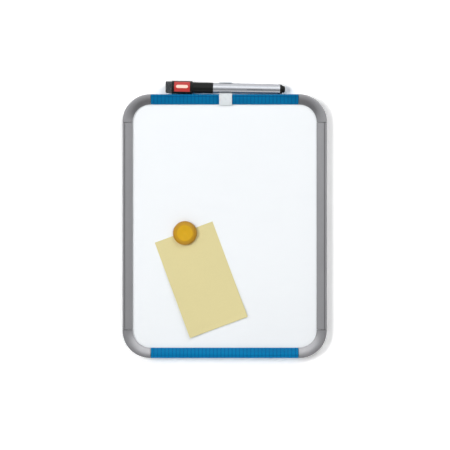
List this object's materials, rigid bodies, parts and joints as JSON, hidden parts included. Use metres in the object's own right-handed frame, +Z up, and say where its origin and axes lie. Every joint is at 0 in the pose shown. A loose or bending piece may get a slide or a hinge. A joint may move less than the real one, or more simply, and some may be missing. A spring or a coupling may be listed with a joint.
{
  "type": "magnetic whiteboard",
  "caption": "Small portrait magnetic whiteboard in a rounded frame, with a sliding clip that holds a capped marker with an eraser, a round magnet and a paper note.",
  "frame": {"origin": "on the wall plane, midway between the head holes of the two upper keyholes", "axes": "+Z up along the board's long side, -Y out of the wall towards the viewer, +X to the viewer's right"},
  "size_m": [0.2164, 0.0153, 0.2941],
  "materials": {
    "white_lacquer": "glossy white lacquer on steel, seen as the writing surface",
    "core": "plain light board, edges hidden in the frame's groove",
    "bare_sheet": "matt grey coated sheet",
    "blue_rail": "blue moulded plastic, satin, with fine cross grooves",
    "grey_rail": "grey plastic with a faint pearl, satin",
    "grey_elbow": "grey plastic with a faint pearl, semi-gloss",
    "white_clip": "milky white plastic, semi-gloss",
    "silver_barrel": "silver lacquered plastic tube, semi-gloss",
    "black_plastic": "black moulded plastic, semi-gloss",
    "fibre": "bonded fibre soaked with ink",
    "felt": "dense dark grey felt with pale specks",
    "red_sticker": "coated red sticker, plain",
    "amber_plastic": "amber yellow moulded plastic, semi-gloss",
    "magnet": "dark sintered ferrite",
    "note_paper": "pale yellow note paper, matt"
  },
  "bodies": {
    "board": {"writing_sheet": "white_lacquer", "core_board": "core", "backing_sheet": "bare_sheet", "rail_top": "blue_rail", "rail_bottom": "blue_rail", "rail_left": "grey_rail", "rail_right": "grey_rail", "corner_top_left": "grey_elbow", "corner_top_right": "grey_elbow", "corner_bottom_left": "grey_elbow", "corner_bottom_right": "grey_elbow"},
    "clip": {"marker_clip": "white_clip"},
    "marker": {"marker_barrel": "silver_barrel", "marker_section": "black_plastic", "marker_nib": "fibre", "ink_reservoir": "fibre", "marker_plug": "black_plastic"},
    "cap": {"marker_cap": "black_plastic", "eraser_felt": "felt", "cap_label": "red_sticker"},
    "magnet": {"magnet_button": "amber_plastic", "magnet_disc": "magnet"},
    "note": {"note_sheet": "note_paper"}
  },
  "joints": [
    {"name": "clip_slide", "type": "slide", "parent": "board", "child": "clip", "axis": [1, 0, 0], "range_m": [-0.07235, 0.07035]},
    {"name": "marker_pull", "type": "slide", "parent": "clip", "child": "marker", "axis": [0, -1, 0], "range_m": [0, 0.02]},
    {"name": "cap_pull", "type": "slide", "parent": "marker", "child": "cap", "axis": [-0.9998, 0, 0.0175], "range_m": [0, 0.04]},
    {"name": "magnet_pull", "type": "slide", "parent": "board", "child": "magnet", "axis": [0, -1, 0], "range_m": [0, 0.015]},
    {"name": "note_swing", "type": "hinge", "parent": "board", "child": "note", "pos_m": [-0.0421, -0.0083, -0.1279], "axis": [0, -1, 0], "range_deg": [-32, 172]}
  ]
}
